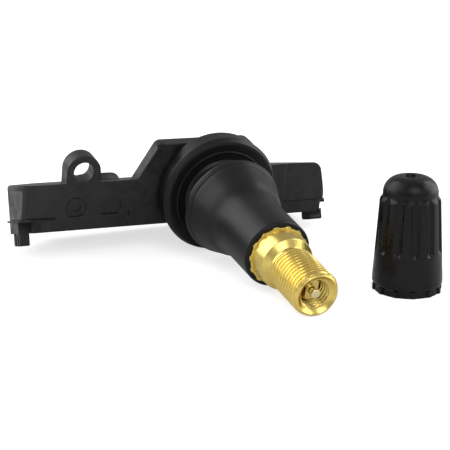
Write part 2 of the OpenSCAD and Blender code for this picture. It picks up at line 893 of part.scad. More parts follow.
module core_plug() {
    outer = core_bore_d / 2;
    color([0.8, 0.66, 0.34])
        on_valve()
            difference() {
                translate([0, 0, plug_top])
                    rotate_extrude()
                        polygon([
                            [0, 0], [1.7, 0], [1.9, 0.2], [1.9, 1.6], [outer, 2.1],
                            [outer, plug_len - 0.3], [outer - 0.4, plug_len], [0, plug_len]]);
                // Bore of the pin
                cylinder(d = pin_d + 2 * slide_gap, h = 40);
                // Two flats leave the bridge over the pin
                for (s = [-1, 1])
                    translate([s * 2.05 - 1, -5, plug_top - 1]) cube([2, 10, 2.6]);
                // Arch under the bridge, which lets the air past the pin
                translate([-5, 0, plug_top + 1.4])
                    rotate([0, 90, 0]) cylinder(d = 1.8, h = 10);
                // Air ways through the threaded part
                for (a = [0, 180])
                    rotate([0, 0, a])
                        translate([(pin_d / 2 + outer) / 2, 0, plug_top + 1])
                            cylinder(d = 0.8, h = plug_len);
            }
}

module core_barrel() {
    inner = 1.45;
    outer = core_bore_d / 2 - 0.5 - 0.3;
    color([0.8, 0.66, 0.34])
        on_valve()
            translate([0, 0, plug_end])
                rotate_extrude()
                    polygon([
                        [inner, 0], [outer - 0.2, 0], [outer - 0.2, 1.8],
                        [outer, 1.8], [outer, barrel_end - plug_end - 0.4],
                        [outer - 0.4, barrel_end - plug_end],
                        [pin_d / 2 + 0.3, barrel_end - plug_end],
                        [pin_d / 2 + 0.3, barrel_end - plug_end - seat_t],
                        [inner, barrel_end - plug_end - seat_t]]);
}

module core_gasket() {
    inner = core_bore_d / 2 - 0.5 - 0.3 - 0.2;
    color([0.75, 0.2, 0.12])
        on_valve()
            translate([0, 0, plug_end])
                rotate_extrude()
                    polygon([
                        [inner, 0.1], [core_bore_d / 2 - 0.4, 0.1], [core_bore_d / 2 - 0.1, 0.5],
                        [core_bore_d / 2 - 0.55, 1.7], [inner, 1.7]]);
}

// Spring as a stack of rings, one for each turn
module core_spring() {
    turns = 7;
    wire = 0.28;
    low = collar_place + 0.6;
    high = barrel_end - seat_t;
    color([0.72, 0.72, 0.7])
        on_valve()
            rotate_extrude()
                for (i = [0 : turns - 1])
                    translate([1.05, low + wire / 2 + i * (high - low - wire) / (turns - 1)])
                        circle(d = wire, $fn = 16);
}

module core_pin() {
    end = barrel_end + cup_gap + core_cup_h;
    color([0.86, 0.78, 0.52])
        on_valve()
            rotate_extrude()
                polygon([
                    [0, pin_depth], [pin_head_d / 2 - 0.15, pin_depth], [pin_head_d / 2, pin_depth + 0.15],
                    [pin_head_d / 2, pin_depth + pin_head_h - 0.15], [pin_d / 2, pin_depth + pin_head_h],
                    [pin_d / 2, collar_place], [1.2, collar_place], [1.2, collar_place + 0.6],
                    [pin_d / 2, collar_place + 0.6], [pin_d / 2, barrel_end + cup_gap + 0.8],
                    [1.35, barrel_end + cup_gap + 0.8], [1.35, barrel_end + cup_gap + 0.4],
                    [1.5, barrel_end + cup_gap + 0.4], [1.5, end], [0, end]]);
}

module core_cup_washer() {
    color([0.08, 0.08, 0.08])
        on_valve()
            translate([0, 0, barrel_end + cup_gap])
                difference() {
                    cylinder(r = 1.35, h = 0.8);
                    translate([0, 0, -1]) cylinder(d = pin_d, h = 3);
                }
}

// Half width of the cap at a height, where its side tapers
cap_base_r = cap_d / 2;
cap_rim_h = 1.1;
cap_shoulder = cap_h - 3.4;
cap_shoulder_r = cap_base_r - 0.8;
cap_bore_d = thread_d + 2 * cap_gap;
cap_bore_depth = 10.5;
cap_seal_d = cap_bore_d + 2 * cap_seal_step;

module valve_cap() {
    dome_r = 2.7;
    dome_base = cap_shoulder_r - 0.45;
    taper = atan((cap_base_r - cap_shoulder_r) / (cap_shoulder - 2.2));
    groove_r = 0.9;
    color([0.05, 0.05, 0.055])
        translate([cap_x - centre_x, -cap_front - centre_y, 0])
            difference() {
                union() {
                    rotate_extrude()
                        polygon([
                            [0, 0], [cap_base_r - 0.3, 0], [cap_base_r - 0.3, cap_rim_h],
                            [cap_base_r, cap_rim_h + 0.5], [cap_base_r, 2.2],
                            [cap_shoulder_r, cap_shoulder - 0.5], [cap_shoulder_r - 0.2, cap_shoulder],
                            [dome_base, cap_shoulder + 0.5], [dome_base, cap_h - dome_r],
                            [0, cap_h - dome_r]]);
                    translate([0, 0, cap_h - dome_r])
                        rotate_extrude() {
                            square([dome_base - dome_r, dome_r]);
                            intersection() {
                                translate([dome_base - dome_r, 0]) circle(dome_r);
                                square([dome_base, dome_r]);
                            }
                        }
                    // Small tabs round the rim
                    for (i = [0 : cap_grooves - 1])
                        rotate([0, 0, i * 360 / cap_grooves + 10])
                            translate([cap_base_r - 1, -0.4, 0.1]) cube([0.95, 0.8, cap_rim_h]);
                }
                // Grooves with round lower ends
                for (i = [0 : cap_grooves - 1])
                    rotate([0, 0, i * 360 / cap_grooves + 10])
                        translate([cap_base_r + 0.15, 0, 7.4])
                            rotate([0, -taper, 0]) {
                                cylinder(r = groove_r, h = 20, $fn = 32);
                                sphere(groove_r, $fn = 32);
                            }
                // Bore for the thread, the seat of the seal, the space above it and the recess in the top
                translate([0, 0, -1]) cylinder(d = cap_bore_d, h = cap_bore_depth + 1);
                translate([0, 0, cap_bore_depth - cap_seal_t]) cylinder(d = cap_seal_d, h = cap_seal_t);
                translate([0, 0, -1]) cylinder(d = cap_bore_d - 1.6, h = cap_bore_depth + 3);
                translate([0, 0, -eps])
                    cylinder(d1 = cap_bore_d + 0.8, d2 = cap_bore_d, h = 0.5 + eps);
                translate([0, 0, cap_h - 0.5]) cylinder(r = 1.3, h = 2);
            }
}

module cap_seal() {
    color([0.3, 0.3, 0.3])
        translate([cap_x - centre_x, -cap_front - centre_y, cap_bore_depth - cap_seal_t])
            difference() {
                cylinder(d = cap_seal_d - 0.02, h = cap_seal_t);
                translate([0, 0, -1]) cylinder(d = 2.4, h = 3);
            }
}

housing();
base_cover();
lid_gasket();
circuit_board();
coin_cell();
cell_tab_lower();
cell_tab_upper();
pressure_chip();
port_seal();
port_filter();
wake_coil();
coil_core();
loop_antenna();
radio_crystal();
board_components();
valve_stem();
valve_rubber();
mounting_screw();
core_plug();
core_barrel();
core_gasket();
core_spring();
core_pin();
core_cup_washer();
valve_cap();
cap_seal();
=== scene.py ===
"""Looks of a snap-in tyre pressure sensor lying on a bench, with its valve cap standing beside it.

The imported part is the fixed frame. Lengths in the classes are millimetres and become metres when a
mesh is made. Distances along the valve are measured from its open end towards the housing.
"""

import json
import logging
import math
from dataclasses import dataclass, field
from enum import Enum
from typing import Any, Callable

import bmesh
import bpy
from mathutils import Matrix, Vector


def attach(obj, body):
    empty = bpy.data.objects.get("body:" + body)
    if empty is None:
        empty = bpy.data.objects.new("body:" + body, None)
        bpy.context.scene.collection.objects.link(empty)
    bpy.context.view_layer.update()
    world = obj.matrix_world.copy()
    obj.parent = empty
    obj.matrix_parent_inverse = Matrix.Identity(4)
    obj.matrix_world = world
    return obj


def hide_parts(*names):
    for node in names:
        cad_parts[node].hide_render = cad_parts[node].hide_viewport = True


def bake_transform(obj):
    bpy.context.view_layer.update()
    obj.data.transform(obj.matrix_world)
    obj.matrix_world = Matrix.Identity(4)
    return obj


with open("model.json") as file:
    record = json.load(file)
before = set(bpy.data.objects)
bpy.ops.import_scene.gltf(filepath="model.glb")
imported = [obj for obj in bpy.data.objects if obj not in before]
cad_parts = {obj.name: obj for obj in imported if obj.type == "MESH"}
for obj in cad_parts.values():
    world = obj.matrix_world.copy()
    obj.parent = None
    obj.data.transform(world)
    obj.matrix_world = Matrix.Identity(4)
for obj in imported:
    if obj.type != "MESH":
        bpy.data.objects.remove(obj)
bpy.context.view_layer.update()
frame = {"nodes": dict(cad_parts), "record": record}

LOG = logging.getLogger("sensor")
MM = 0.001

# A flat face of the housing larger than this is shaded flat, in square metres
FLAT_AREA = 3e-6

# Radius of a row that closes a turned piece on its axis
CENTRE = 0.02

# The most of a side that the rounding of one corner takes
SIDE_SHARE = 0.48

# Steps of the brass under the rubber: place along the valve and radius, up to the tail
TAIL_RADIUS = 3.5
SEAT_STEPS = (
    (14.3, 4.6), (15.3, 4.6), (15.9, 4.0), (35.0, 4.0), (36.0, 4.6), (40.0, 4.6), (41.0, TAIL_RADIUS))

Number = int | float
Colour = tuple[float, float, float]


# Shader tools

class Socket:
    """An output socket that takes part in arithmetic; every operator adds one Math node."""

    def __init__(self, tree: "ShaderTree", link: bpy.types.NodeSocket | None) -> None:
        """Keep the socket with its tree.

        Args:
            tree: The tree that the socket belongs to.
            link: The output socket itself, or None after an output node.
        """
        self.tree = tree
        self.link = link

    def math(self, operation: str, first: Any, second: Any, clamp: bool = False) -> "Socket":
        """Add a Math node.

        Args:
            operation: Blender's name of the operation.
            first: The first value or socket.
            second: The second value or socket.
            clamp: Whether the result stays between 0 and 1.

        Returns:
            The result.
        """
        settings = {"operation": operation, "use_clamp": clamp}
        return self.tree.node("ShaderNodeMath", settings, {0: first, 1: second})

    def __add__(self, other: Any) -> "Socket":
        """Return self + other."""
        return self.math("ADD", self, other)

    def __radd__(self, other: Any) -> "Socket":
        """Return other + self."""
        return self.math("ADD", other, self)

    def __sub__(self, other: Any) -> "Socket":
        """Return self - other."""
        return self.math("SUBTRACT", self, other)

    def __rsub__(self, other: Any) -> "Socket":
        """Return other - self."""
        return self.math("SUBTRACT", other, self)

    def __mul__(self, other: Any) -> "Socket":
        """Return self * other."""
        return self.math("MULTIPLY", self, other)

    def __rmul__(self, other: Any) -> "Socket":
        """Return other * self."""
        return self.math("MULTIPLY", other, self)

    def clamped(self) -> "Socket":
        """Return self kept between 0 and 1."""
        return self.math("ADD", self, 0.0, clamp=True)

    def larger(self, other: Any) -> "Socket":
        """Return the larger of self and other."""
        return self.math("MAXIMUM", self, other)


class ShaderTree:
    """The nodes of one material or world."""

    def __init__(self, owner: Any) -> None:
        """Start with an empty tree.

        Args:
            owner: The material or world.
        """
        owner.use_nodes = True
        self.nodes = owner.node_tree.nodes
        self.links = owner.node_tree.links
        self.nodes.clear()

    def node(self, kind: str, settings: dict[str, Any] | None = None,
             inputs: dict[Any, Any] | None = None, output: Any = 0) -> Socket:
        """Add one node.

        Args:
            kind: The node's type.
            settings: Its settings, set first; "ramp" holds a Color Ramp's stops.
            inputs: Values or links for its sockets, by name or number.
            output: The name or number of the output to return.

        Returns:
            The chosen output; an output node has none.
        """
        made = self.nodes.new(kind)
        for key, value in (settings or {}).items():
            if key == "ramp":
                self._stops(made.color_ramp, value)
            else:
                setattr(made, key, value)
        for key, value in (inputs or {}).items():
            if isinstance(value, Socket):
                self.links.new(value.link, made.inputs[key])
            else:
                made.inputs[key].default_value = value
        return Socket(self, made.outputs[output] if len(made.outputs) else None)

    @staticmethod
    def _stops(ramp: bpy.types.ColorRamp, stops: list[tuple[float, Number]]) -> None:
        """Set a ramp's stops.

        Args:
            ramp: The colour ramp.
            stops: Place and grey value of each stop.
        """
        while len(ramp.elements) < len(stops):
            ramp.elements.new(1.0)
        for element, (place, grey) in zip(ramp.elements, stops):
            element.position = place
            element.color = (grey, grey, grey, 1.0)

    def place(self) -> Socket:
        """Return the point on the piece in its own metres."""
        return self.node("ShaderNodeTexCoord", output="Object")

    def along_valve(self) -> Socket:
        """Return the point turned so that its Z runs along the valve."""
        return self.node("ShaderNodeVectorRotate", {"rotation_type": "X_AXIS"},
                         {"Vector": self.place(), "Angle": math.radians(90.0) - Lie().tilt})

    def stretched(self, point: Socket, scale: tuple[float, float, float]) -> Socket:
        """Return a point scaled along each axis.

        Args:
            point: The point.
            scale: The three factors.

        Returns:
            The scaled point.
        """
        return self.node("ShaderNodeVectorMath", {"operation": "MULTIPLY"}, {0: point, 1: scale})

    def noise(self, point: Socket, size: float, detail: float, rough: float = 0.55) -> Socket:
        """Return soft noise between 0 and 1.

        Args:
            point: Where it is read.
            size: Size of its features in millimetres.
            detail: Number of finer layers.
            rough: Strength of the finer layers.

        Returns:
            The noise value.
        """
        return self.node("ShaderNodeTexNoise", {"noise_dimensions": "3D"},
                         {"Vector": point, "Scale": 1.0 / (size * MM), "Detail": detail, "Roughness": rough})

    def ramp(self, value: Socket, stops: list[tuple[float, Number]]) -> Socket:
        """Return a value remapped through grey stops.

        Args:
            value: The value.
            stops: Place and grey value of each stop.

        Returns:
            The remapped value.
        """
        return self.node("ShaderNodeValToRGB", {"ramp": stops}, {0: value})

    def mixed(self, factor: Any, first: Any, second: Any) -> Socket:
        """Return a mix of two colours.

        Args:
            factor: 0 for the first, 1 for the second.
            first: The first colour or socket.
            second: The second colour or socket.

        Returns:
            The mixed colour.
        """
        # A Mix node's colours are its inputs 6 and 7 and its output 2
        ends = [end if isinstance(end, Socket) else (*end, 1.0) for end in (first, second)]
        return self.node("ShaderNodeMix", {"data_type": "RGBA"}, {0: factor, 6: ends[0], 7: ends[1]}, 2)

    def bump(self, height: Socket, depth: float, strength: float, normal: Socket | None = None) -> Socket:
        """Return a normal bent by a height.

        Args:
            height: The height, 0 to 1.
            depth: Height of a full step in millimetres.
            strength: Strength of the effect.
            normal: A normal to start from.

        Returns:
            The new normal.
        """
        inputs: dict[Any, Any] = {"Strength": strength, "Distance": depth * MM, "Height": height}
        if normal is not None:
            inputs["Normal"] = normal
        return self.node("ShaderNodeBump", {}, inputs)

    def surface(self, inputs: dict[str, Any]) -> None:
        """Finish the material with a Principled shader.

        Args:
            inputs: Values or links for the shader's sockets.
        """
        shader = self.node("ShaderNodeBsdfPrincipled", {}, inputs)
        self.node("ShaderNodeOutputMaterial", {}, {"Surface": shader})


# Finishes

@dataclass(frozen=True)
class Finish:
    """A finish that makes one material."""

    name: str
    colour: Colour

    def material(self) -> bpy.types.Material:
        """Return the material, made once."""
        # The part's plain materials already have the names of the slots
        label = "finish_" + self.name
        found = bpy.data.materials.get(label)
        if found is None:
            found = bpy.data.materials.new(label)
            self.dress(ShaderTree(found))
        return found

    def dress(self, tree: ShaderTree) -> None:
        """Build the nodes.

        Args:
            tree: The material's tree.
        """
        raise NotImplementedError

    def tint(self, factor: float) -> Colour:
        """Return the colour made lighter or darker.

        Args:
            factor: The factor on each channel.

        Returns:
            The new colour.
        """
        return tuple(min(1.0, c * factor) for c in self.colour)


@dataclass(frozen=True)
class MouldedPlastic(Finish):
    """Black moulded plastic with a fine eroded grain, softened edges and faint rub marks."""

    roughness: float = 0.5
    grain: float = 0.16
    grain_depth: float = 0.012
    edge: float = 0.4
    marks: float = 0.6
    specular: float = 0.4

    def dress(self, tree: ShaderTree) -> None:
        """Build the nodes.

        Args:
            tree: The material's tree.
        """
        point = tree.place()
        grain = tree.noise(point, size=self.grain, detail=3.0, rough=0.6)
        cloud = tree.ramp(tree.noise(point, size=2.6, detail=5.0, rough=0.68), [(0.36, 0), (0.64, 1)])
        streaks = tree.noise(tree.stretched(point, (1.0, 1.0, 4.0)), size=0.9, detail=5.0, rough=0.7)
        rubs = tree.ramp(streaks, [(0.58, 0), (0.72, 1)])
        specks = tree.ramp(tree.noise(point, size=0.35, detail=1.0), [(0.70, 0), (0.76, 1)])
        shade = tree.mixed(cloud, self.tint(0.4), self.tint(1.8))
        shade = tree.mixed(rubs * self.marks, shade, self.tint(3.2))
        shade = tree.mixed(specks * (self.marks * 0.6), shade, self.tint(5.0))
        softened = tree.node("ShaderNodeBevel", {"samples": 6}, {"Radius": self.edge * MM})
        height = grain * 0.8 + cloud * 0.6
        tree.surface({
            "Base Color": shade,
            "Roughness": (self.roughness - 0.14 + cloud * 0.28 + rubs * 0.05).clamped(),
            "Specular IOR Level": self.specular,
            "Normal": tree.bump(height, depth=self.grain_depth, strength=0.55, normal=softened)})


@dataclass(frozen=True)
class MouldedRubber(Finish):
    """Black rubber with a satin skin, flow marks along the valve and a little bloom."""

    roughness: float = 0.4
    bloom: float = 0.3
    specular: float = 0.28

    def dress(self, tree: ShaderTree) -> None:
        """Build the nodes.

        Args:
            tree: The material's tree.
        """
        point = tree.along_valve()
        fine = tree.noise(point, size=0.22, detail=3.0, rough=0.6)
        flow = tree.noise(tree.stretched(point, (1.0, 1.0, 0.25)), size=1.6, detail=4.0, rough=0.6)
        dust = tree.ramp(tree.noise(point, size=0.8, detail=5.0, rough=0.75), [(0.6, 0), (0.8, 1)])
        shade = tree.mixed(flow, self.tint(0.8), self.tint(1.25))
        shade = tree.mixed(dust * self.bloom, shade, self.tint(3.0))
        tree.surface({
            "Base Color": shade,
            "Roughness": (self.roughness - 0.07 + flow * 0.14 + dust * 0.1).clamped(),
            "Specular IOR Level": self.specular,
            "Normal": tree.bump(fine * 0.5 + flow, depth=0.02, strength=0.5)})


@dataclass(frozen=True)
class TurnedMetal(Finish):
    """Bright metal with fine tool rings across its axis and slight tarnish."""

    roughness: float = 0.2
    tarnish: Colour = (0.5, 0.33, 0.1)
    tarnish_share: float = 0.3
    ring: float = 0.16

    def dress(self, tree: ShaderTree) -> None:
        """Build the nodes.

        Args:
            tree: The material's tree.
        """
        point = tree.along_valve()
        rings = tree.noise(tree.stretched(point, (0.05, 0.05, 1.0)), size=self.ring, detail=3.0, rough=0.6)
        cloud = tree.noise(point, size=1.8, detail=4.0, rough=0.6)
        stain = tree.ramp(tree.noise(point, size=0.7, detail=5.0, rough=0.7), [(0.5, 0), (0.75, 1)])
        shade = tree.mixed(cloud, self.tint(0.93), self.tint(1.06))
        shade = tree.mixed(stain * self.tarnish_share, shade, self.tarnish)
        tree.surface({
            "Base Color": shade,
            "Metallic": 1.0,
            "Roughness": (self.roughness - 0.05 + rings * 0.1 + stain * 0.12).clamped(),
            "Normal": tree.bump(rings, depth=0.002, strength=0.4)})


@dataclass(frozen=True)
class SheetMetal(Finish):
    """Plain rolled or plated metal with a brushed direction and small stains."""

    roughness: float = 0.32
    metallic: float = 1.0

    def dress(self, tree: ShaderTree) -> None:
        """Build the nodes.

        Args:
            tree: The material's tree.
        """
        point = tree.place()
        brush = tree.noise(tree.stretched(point, (0.08, 1.0, 1.0)), size=0.12, detail=3.0, rough=0.6)
        cloud = tree.noise(point, size=2.2, detail=4.0, rough=0.6)
        tree.surface({
            "Base Color": tree.mixed(cloud, self.tint(0.88), self.tint(1.08)),
            "Metallic": self.metallic,
            "Roughness": (self.roughness - 0.08 + brush * 0.16).clamped(),
            "Normal": tree.bump(brush, depth=0.008, strength=0.4)})


@dataclass(frozen=True)
class SolderMask(Finish):
    """Circuit board with a green mask over the raised tracks."""

    track: Colour = (0.12, 0.42, 0.2)

    def dress(self, tree: ShaderTree) -> None:
        """Build the nodes.

        Args:
            tree: The material's tree.
        """
        point = tree.place()
        cells = tree.node("ShaderNodeTexVoronoi", {"distance": "CHEBYCHEV", "feature": "F1"},
                          {"Vector": point, "Scale": 1.0 / (2.4 * MM)})
        tracks = tree.ramp(cells, [(0.42, 0), (0.46, 1)])
        cloud = tree.noise(point, size=1.5, detail=3.0)
        mask = tree.mixed(cloud, self.tint(0.8), self.tint(1.2))
        tree.surface({
            "Base Color": tree.mixed(tracks * 0.7, mask, self.track),
            "Roughness": 0.25 + cloud * 0.12,
            "Normal": tree.bump(tracks, depth=0.03, strength=0.6)})


@dataclass(frozen=True)
class Compound(Finish):
    """Plain moulded, sintered or woven stuff with a visible grain."""

    roughness: float = 0.55
    grain: float = 0.2
    depth: float = 0.02
    variation: float = 0.25

    def dress(self, tree: ShaderTree) -> None:
        """Build the nodes.

        Args:
            tree: The material's tree.
        """
        point = tree.place()
        grain = tree.noise(point, size=self.grain, detail=4.0, rough=0.65)
        cloud = tree.noise(point, size=1.7, detail=3.0)
        tree.surface({
            "Base Color": tree.mixed(cloud, self.tint(1.0 - self.variation), self.tint(1.0 + self.variation)),
            "Roughness": (self.roughness - 0.08 + grain * 0.16).clamped(),
            "Normal": tree.bump(grain, depth=self.depth, strength=0.6)})


@dataclass(frozen=True)
class PaleBench(Finish):
    """White bench that keeps soft shadows and still reads as white to the camera."""

    lift: float = 0.67
    mirrored: float = 0.12

    def dress(self, tree: ShaderTree) -> None:
        """Build the nodes.

        Args:
            tree: The material's tree.
        """
        point = tree.place()
        cloud = tree.noise(point, size=60.0, detail=2.0)
        matt = tree.node("ShaderNodeBsdfDiffuse", {}, {
            "Color": tree.mixed(cloud, self.tint(0.99), self.colour), "Roughness": 0.5})
        seen = tree.node("ShaderNodeLightPath", output="Is Camera Ray")
        glossy = tree.node("ShaderNodeLightPath", output="Is Glossy Ray")
        glow = tree.node("ShaderNodeEmission", {}, {
            "Color": (1.0, 1.0, 1.0, 1.0), "Strength": (seen * self.lift).larger(glossy * self.mirrored)})
        both = tree.node("ShaderNodeAddShader", {}, {0: matt, 1: glow})
        tree.node("ShaderNodeOutputMaterial", {}, {"Surface": both})


FINISHES: dict[str, Finish] = {finish.name: finish for finish in (
    MouldedPlastic("housing_plastic", (0.010, 0.010, 0.0112), roughness=0.48),
    MouldedPlastic("cover_plastic", (0.009, 0.009, 0.0100), roughness=0.5),
    MouldedPlastic("cap_plastic", (0.0035, 0.0035, 0.004), roughness=0.34, grain=0.3,
                   grain_depth=0.02, edge=0.12, marks=0.25, specular=0.24),
    MouldedRubber("valve_rubber", (0.005, 0.005, 0.0057)),
    MouldedRubber("seal_rubber", (0.02, 0.02, 0.02), roughness=0.55),
    Compound("seal_red", (0.45, 0.07, 0.04), roughness=0.5),
    TurnedMetal("valve_brass", (0.84, 0.65, 0.19), roughness=0.29),
    TurnedMetal("core_brass", (0.83, 0.64, 0.2), roughness=0.29),
    TurnedMetal("pin_brass", (0.88, 0.74, 0.4), roughness=0.24),
    SheetMetal("screw_steel", (0.62, 0.63, 0.65)),
    SheetMetal("cell_steel", (0.66, 0.67, 0.69), roughness=0.28),
    SheetMetal("tab_nickel", (0.70, 0.68, 0.62), roughness=0.3),
    SolderMask("board_green", (0.02, 0.16, 0.06)),
    Compound("chip_black", (0.03, 0.03, 0.03), grain=0.12),
    Compound("filter_white", (0.72, 0.72, 0.69), roughness=0.8, grain=0.1, variation=0.08),
    TurnedMetal("coil_copper", (0.72, 0.34, 0.17), roughness=0.28, ring=0.12),
    Compound("ferrite", (0.07, 0.07, 0.075), roughness=0.6, grain=0.15),
    Compound("component_tan", (0.34, 0.25, 0.15), roughness=0.5),
)}


# Mesh tools

class Wave(Enum):
    """How the radius of a turned row changes round the axis."""

    PLAIN = "plain"
    OUTER_THREAD = "outer thread"
    INNER_THREAD = "inner thread"
    SCALLOP = "scallop"


@dataclass(frozen=True)
class Row:
    """One ring of a turned piece: its place along the axis, its radius and its wave."""

    at: float
    radius: float
    wave: Wave = Wave.PLAIN


def clipped(value: float) -> float:
    """Return a value kept between 0 and 1."""
    return min(1.0, max(0.0, value))


def bend(start: Vector, corner: Vector, end: Vector, steps: int) -> list[Vector]:
    """Return the points of the curve that rounds a corner.

    Args:
        start: Where the curve leaves the first side.
        corner: The sharp corner.
        end: Where the curve joins the second side.
        steps: Number of pieces in the curve.

    Returns:
        The points, with both ends.
    """
    shares = [k / steps for k in range(steps + 1)]
    return [start * (1 - u) ** 2 + corner * (2 * u * (1 - u)) + end * u ** 2 for u in shares]


def rounded(corners: list[tuple[float, float, float]], steps: int = 5) -> list[Row]:
    """Round the corners of a profile.

    Args:
        corners: Place along the axis, radius and rounding of each corner.
        steps: Number of pieces in each rounding.

    Returns:
        The rows of the profile.
    """
    rows: list[Row] = []
    for i, (at, radius, fillet) in enumerate(corners):
        if fillet <= 0 or i in (0, len(corners) - 1):
            rows.append(Row(at, radius))
            continue
        corner = Vector((at, radius))
        back = Vector(corners[i - 1][:2]) - corner
        onward = Vector(corners[i + 1][:2]) - corner
        reach = min(fillet, back.length * SIDE_SHARE, onward.length * SIDE_SHARE)
        start, end = corner + back.normalized() * reach, corner + onward.normalized() * reach
        rows += [Row(p.x, p.y) for p in bend(start, corner, end, steps)]
    return rows


def filled(rows: list[Row], longest: float) -> list[Row]:
    """Add rows so that none lie further apart than a given length.

    Args:
        rows: The rows.
        longest: The longest step in millimetres.

    Returns:
        The rows with the added ones between them.
    """
    out = [rows[0]]
    for a, b in zip(rows, rows[1:]):
        count = max(1, math.ceil(math.dist((a.at, a.radius), (b.at, b.radius)) / longest))
        for k in range(1, count + 1):
            u = k / count
            out.append(Row(a.at + (b.at - a.at) * u, a.radius + (b.radius - a.radius) * u, b.wave))
    return out


def turned(name: str, rows: list[Row], segments: int, place: Matrix,
           radius_at: Callable[[Row, float], float] | None = None) -> bpy.types.Object:
    """Make a turned piece about its own Z axis, with its last row joined to the first.

    Args:
        name: The piece's name.
        rows: Its rows in order.
        segments: Number of steps round the axis.
        place: Where its axis stands in the part's frame, in metres.
        radius_at: Gives the radius of a row at an angle, or None for plain circles.

    Returns:
        The new object.
    """
    verts = []
    for row in rows:
        for k in range(segments):
            angle = 2 * math.pi * k / segments
            r = (radius_at(row, angle) if radius_at else row.radius) * MM
            verts.append((r * math.cos(angle), r * math.sin(angle), row.at * MM))
    count = len(rows)
    faces = []
    for i in range(count):
        j = (i + 1) % count
        for k in range(segments):
            m = (k + 1) % segments
            faces.append((i * segments + k, i * segments + m, j * segments + m, j * segments + k))
    mesh = bpy.data.meshes.new(name)
    mesh.from_pydata(verts, [], faces)
    return finished(name, mesh, place)


def finished(name: str, mesh: bpy.types.Mesh, place: Matrix, sharp: float = 32.0) -> bpy.types.Object:
    """Clean a mesh, shade it smooth with sharp edges kept, and put it in the scene.

    Args:
        name: The object's name.
        mesh: The mesh.
        place: Its place in the part's frame.
        sharp: Angle in degrees above which an edge stays sharp.

    Returns:
        The new object.
    """
    shape = bmesh.new()
    shape.from_mesh(mesh)
    bmesh.ops.remove_doubles(shape, verts=shape.verts, dist=1e-6)
    bmesh.ops.recalc_face_normals(shape, faces=shape.faces)
    shape.transform(place)
    shape.to_mesh(mesh)
    shape.free()
    mesh.shade_smooth()
    mesh.set_sharp_from_angle(angle=math.radians(sharp))
    made = bpy.data.objects.new(name, mesh)
    bpy.context.scene.collection.objects.link(made)
    return made


def settle(piece: bpy.types.Object, body: str, slot: str, node: str) -> None:
    """Give a piece its finish and its body, and let it stand for a solid.

    Args:
        piece: The piece.
        body: The body that it rides on.
        slot: The material slot that it takes its finish from.
        node: The solid that it replaces.
    """
    piece.data.materials.append(FINISHES[slot].material())
    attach(piece, body)
    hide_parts(node)
    LOG.info("%s rides on %s with %d faces", piece.name, body, len(piece.data.polygons))


# Places

@dataclass
class Lie:
    """How the sensor lies on the bench, read from the part's mounts."""

    lean: float = 1.9
    flange_back: float = 42.6
    thread_middle: float = 4.85
    tilt: float = field(init=False)
    tip: Vector = field(init=False)
    inward: Vector = field(init=False)
    cap: Vector = field(init=False)

    def __post_init__(self) -> None:
        """Find the open end of the valve and the cap's place."""
        mounts = {m["name"]: m for m in frame["record"]["mounts"]}
        thread = mounts["cap_thread"]
        self.inward = -Vector(thread["axis"]).normalized()
        self.tilt = math.asin(self.inward.z)
        self.tip = Vector(thread["pos_m"]) - self.inward * self.thread_middle * MM
        cap = Vector(mounts["cap_bore"]["pos_m"])
        self.cap = Vector((cap.x, cap.y, 0.0))

    def at(self, point: Vector) -> Matrix:
        """Return the matrix that moves a piece to a point, turned as the sensor lies.

        Args:
            point: The point in metres.

        Returns:
            The matrix.
        """
        turn = Matrix.Rotation(self.tilt, 4, "X") @ Matrix.Rotation(math.radians(self.lean), 4, "Y")
        return Matrix.Translation(point) @ turn

    def valve(self) -> Matrix:
        """Return the matrix that lays a piece along the valve from its open end."""
        return self.at(self.tip) @ Matrix.Rotation(-math.pi / 2, 4, "X")

    def tower(self) -> Matrix:
        """Return the matrix that lays a piece against the tower: X along the housing, Y to the rear."""
        return self.at(self.seat())

    def seat(self) -> Vector:
        """Return the point where the valve axis meets the housing."""
        return self.tip + self.inward * self.flange_back * MM


# Pieces

